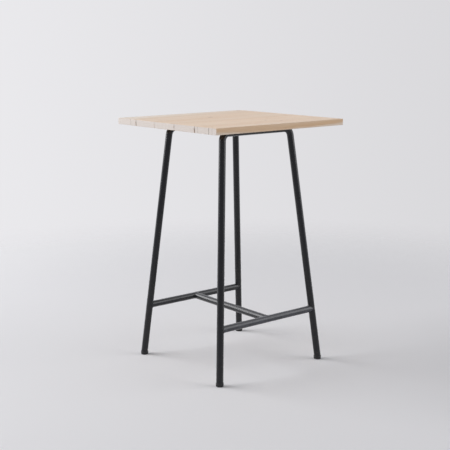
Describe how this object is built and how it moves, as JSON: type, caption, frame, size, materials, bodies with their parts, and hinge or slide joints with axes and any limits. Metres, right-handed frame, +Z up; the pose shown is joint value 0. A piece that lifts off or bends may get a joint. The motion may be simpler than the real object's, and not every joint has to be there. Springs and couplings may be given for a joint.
{
  "type": "standing meeting table",
  "caption": "Tall square table for standing meetings: tongue-and-groove board top on splayed bent-tube leg bows with foot rails, a stretcher and moulded glides.",
  "frame": {"origin": "on the floor, under the middle of the top", "axes": "+Z up, X along the boards, Y across them, the front bow on the -Y side"},
  "size_m": [0.7, 0.7, 1.09],
  "materials": {
    "board_wood": "pale softwood boards, planed, thin matt clear finish",
    "frame_paint": "satin black powder coat on steel",
    "foot_plastic": "black moulded plastic, finely grained",
    "screw_zinc": "bright zinc plate"
  },
  "bodies": {
    "root": {"top_board_1": "board_wood", "top_board_2": "board_wood", "top_board_3": "board_wood", "top_board_4": "board_wood", "top_board_5": "board_wood", "front_leg_bow": "frame_paint", "rear_leg_bow": "frame_paint", "front_foot_rail": "frame_paint", "rear_foot_rail": "frame_paint", "centre_stretcher": "frame_paint", "left_top_strap": "frame_paint", "right_top_strap": "frame_paint", "rail_welds": "frame_paint", "stretcher_welds": "frame_paint", "strap_welds": "frame_paint", "front_left_foot": "foot_plastic", "front_right_foot": "foot_plastic", "rear_left_foot": "foot_plastic", "rear_right_foot": "foot_plastic", "top_screws": "screw_zinc"}
  },
  "joints": []
}
